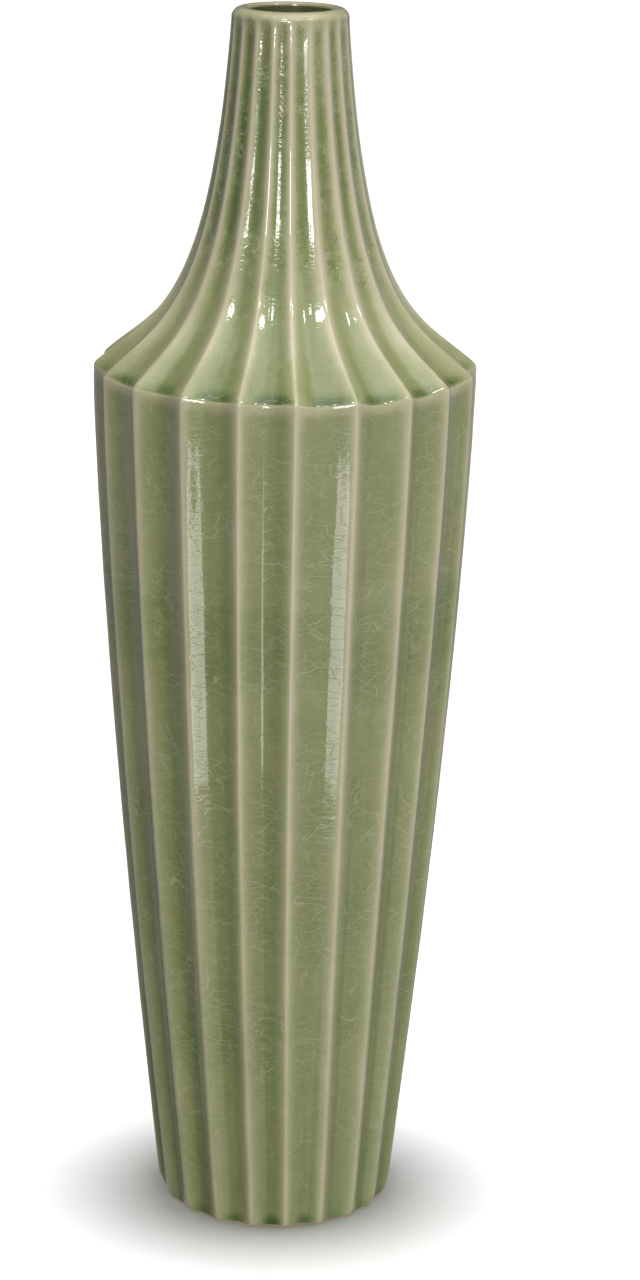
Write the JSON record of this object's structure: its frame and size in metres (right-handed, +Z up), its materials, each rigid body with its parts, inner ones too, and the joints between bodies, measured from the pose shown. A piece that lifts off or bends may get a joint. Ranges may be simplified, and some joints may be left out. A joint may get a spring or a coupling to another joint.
{
  "type": "vase",
  "caption": "Tall fluted stoneware vase that widens to a sharp shoulder, with a trumpet neck and a plain rolled lip, in green crackle glaze.",
  "frame": {"origin": "centre of the ring that the vase stands on, in the resting plane", "axes": "+Z up along the vase's axis, through the mouth; -Y is the front, with the nearest flute ridge 3.2 degrees towards +X"},
  "size_m": [0.1598, 0.1598, 0.5175],
  "materials": {
    "stoneware": "matte",
    "slip": "matte",
    "celadon_glaze": "gloss",
    "inner_glaze": "gloss"
  },
  "bodies": {
    "root": {"foot_ring": "stoneware", "floor_disc": "stoneware", "lower_wall": "stoneware", "upper_wall": "stoneware", "shoulder_neck": "stoneware", "lip_ring": "stoneware", "floor_slip": "slip", "waist_slip": "slip", "shoulder_slip": "slip", "lip_slip": "slip", "body_glaze": "celadon_glaze", "neck_glaze": "celadon_glaze", "lip_glaze": "celadon_glaze", "inner_glaze": "inner_glaze"}
  },
  "joints": []
}
